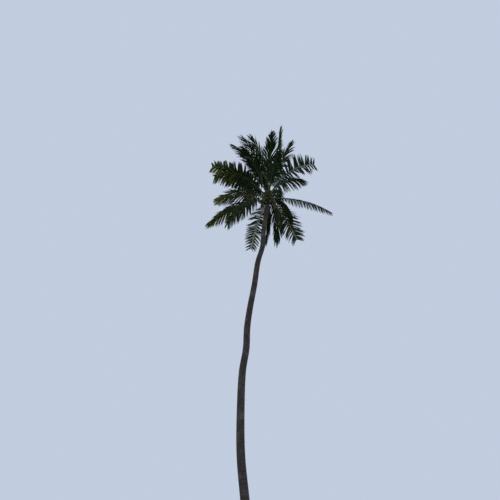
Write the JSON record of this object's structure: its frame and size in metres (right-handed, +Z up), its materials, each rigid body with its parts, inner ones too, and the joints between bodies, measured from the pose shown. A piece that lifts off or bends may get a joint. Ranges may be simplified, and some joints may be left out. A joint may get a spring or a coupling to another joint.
{
  "type": "coconut palm tree",
  "caption": "Tall coconut palm: a slender, swaying, tapering trunk with a flared foot, crowned by arching feather fronds and hanging bunches of nuts.",
  "frame": {"origin": "middle of the trunk's flat cut at ground level", "axes": "+Z up; +X to the right and +Y away in the reference view, so the trunk sways mostly in the XZ plane"},
  "size_m": [8.3155, 7.9044, 28.7864],
  "materials": {
    "trunk_bark": "weathered grey-brown palm bark with ring scars and fine cracks, matte",
    "sheath_fibre": "brown woven fibre and leaf bases, matte",
    "foliage": "deep green leathery leaflets with a soft gloss, olive and yellow-green on older fronds",
    "nut_husk": "smooth green husk with a slight gloss, turning yellow-brown"
  },
  "bodies": {
    "root": {"trunk": "trunk_bark", "leaf_sheaths": "sheath_fibre", "spear_leaf": "foliage", "nut_bunch_1": "nut_husk", "nut_bunch_2": "nut_husk", "nut_bunch_3": "nut_husk", "nut_bunch_4": "nut_husk", "nut_bunch_5": "nut_husk", "frond_01": "foliage", "frond_02": "foliage", "frond_03": "foliage", "frond_04": "foliage", "frond_05": "foliage", "frond_06": "foliage", "frond_07": "foliage", "frond_08": "foliage", "frond_09": "foliage", "frond_10": "foliage", "frond_11": "foliage", "frond_12": "foliage", "frond_13": "foliage", "frond_14": "foliage", "frond_15": "foliage", "frond_16": "foliage", "frond_17": "foliage", "frond_18": "foliage", "frond_19": "foliage", "frond_20": "foliage", "frond_21": "foliage", "frond_22": "foliage", "frond_23": "foliage", "frond_24": "foliage", "frond_25": "foliage", "frond_26": "foliage", "frond_27": "foliage"}
  },
  "joints": []
}
